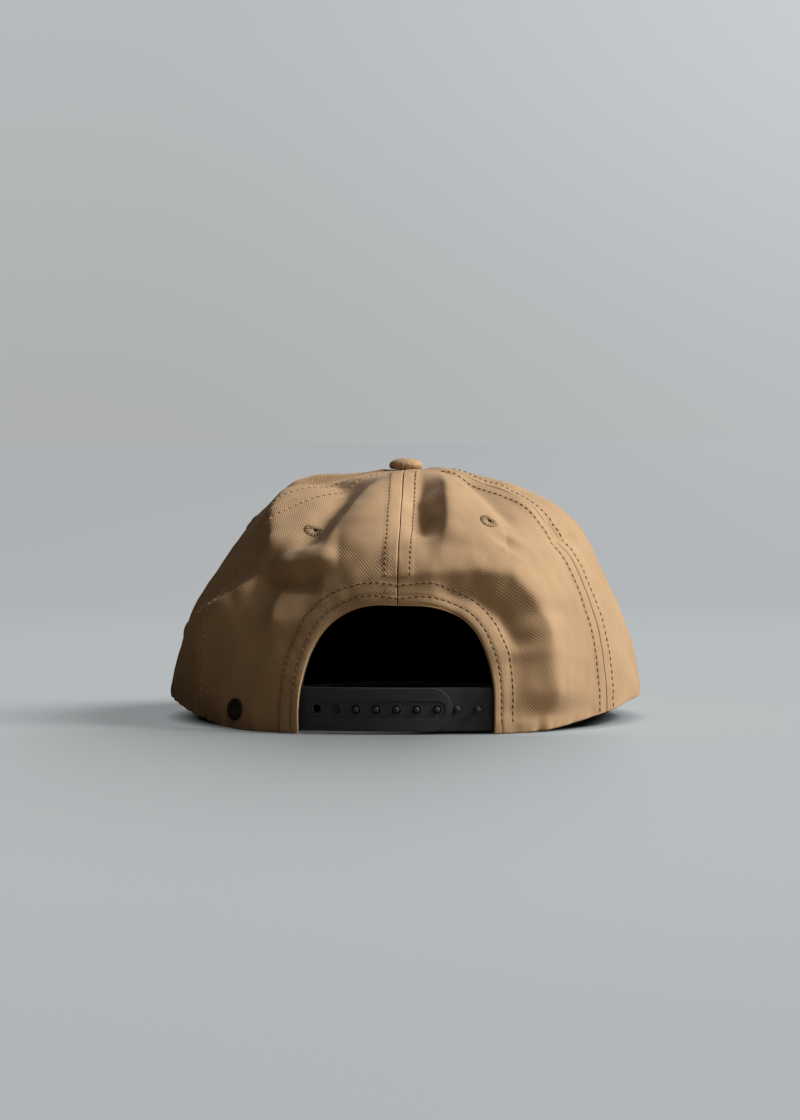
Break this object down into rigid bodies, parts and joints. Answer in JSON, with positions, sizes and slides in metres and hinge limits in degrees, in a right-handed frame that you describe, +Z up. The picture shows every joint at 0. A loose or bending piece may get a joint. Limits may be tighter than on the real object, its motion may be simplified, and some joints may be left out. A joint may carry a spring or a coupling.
{
  "type": "baseball cap",
  "caption": "Unstructured panelled cap with a nearly flat visor, a rear arch opening closed by a snap strap, a covered top button and stitched vent eyelets.",
  "frame": {"origin": "centre of the cap's box in plan, at the level of the table the cap stands on", "axes": "+Y towards the visor's tip, +X towards the wearer's right, +Z up through the top button"},
  "size_m": [0.191, 0.2528, 0.1072],
  "materials": {
    "twill": "washed cotton twill",
    "visor_twill": "washed cotton twill over a board, sewn in rows",
    "thread": "satin-stitched thread",
    "seam_tape": "folded cotton tape",
    "sweatband": "brushed cotton band",
    "band_lining": "non-woven stiffener",
    "visor_board": "flexible polyethylene board",
    "closure_plastic": "satin moulded polyethylene",
    "button_metal": "plain pressed metal",
    "rivet_metal": "dark gunmetal plating"
  },
  "bodies": {
    "crown": {"panel_rear_left": "twill", "panel_rear_right": "twill", "panel_side_left": "twill", "panel_side_right": "twill", "panel_front_left": "twill", "panel_front_right": "twill", "eyelet_rear_left": "thread", "eyelet_rear_right": "thread", "eyelet_side_left": "thread", "eyelet_side_right": "thread", "eyelet_front_left": "thread", "eyelet_front_right": "thread", "arch_facing": "twill", "seam_tape_back_front": "seam_tape", "seam_tape_left": "seam_tape", "seam_tape_right": "seam_tape", "sweatband": "sweatband", "sweatband_lining": "band_lining", "visor_board": "visor_board", "visor_top_cover": "visor_twill", "visor_under_cover": "visor_twill", "button_cover": "twill", "button_shell": "button_metal", "button_pin": "button_metal", "rivet_stud": "rivet_metal", "rivet_washer": "rivet_metal", "hole_strap_tab": "closure_plastic", "peg_strap_tab": "closure_plastic"},
    "hole_strap": {"hole_strap": "closure_plastic"},
    "peg_strap": {"peg_strap": "closure_plastic"}
  },
  "joints": [
    {"name": "hole_strap_flex", "type": "hinge", "parent": "crown", "child": "hole_strap", "pos_m": [-0.03729, -0.12001, 0.0097], "axis": [0, 0, -1], "range_deg": [0, 80], "stiffness_Nm_per_rad": 0.02},
    {"name": "peg_strap_flex", "type": "hinge", "parent": "crown", "child": "peg_strap", "pos_m": [0.0369, -0.11877, 0.0097], "axis": [0, 0, -1], "range_deg": [0, 60], "stiffness_Nm_per_rad": 0.02}
  ]
}
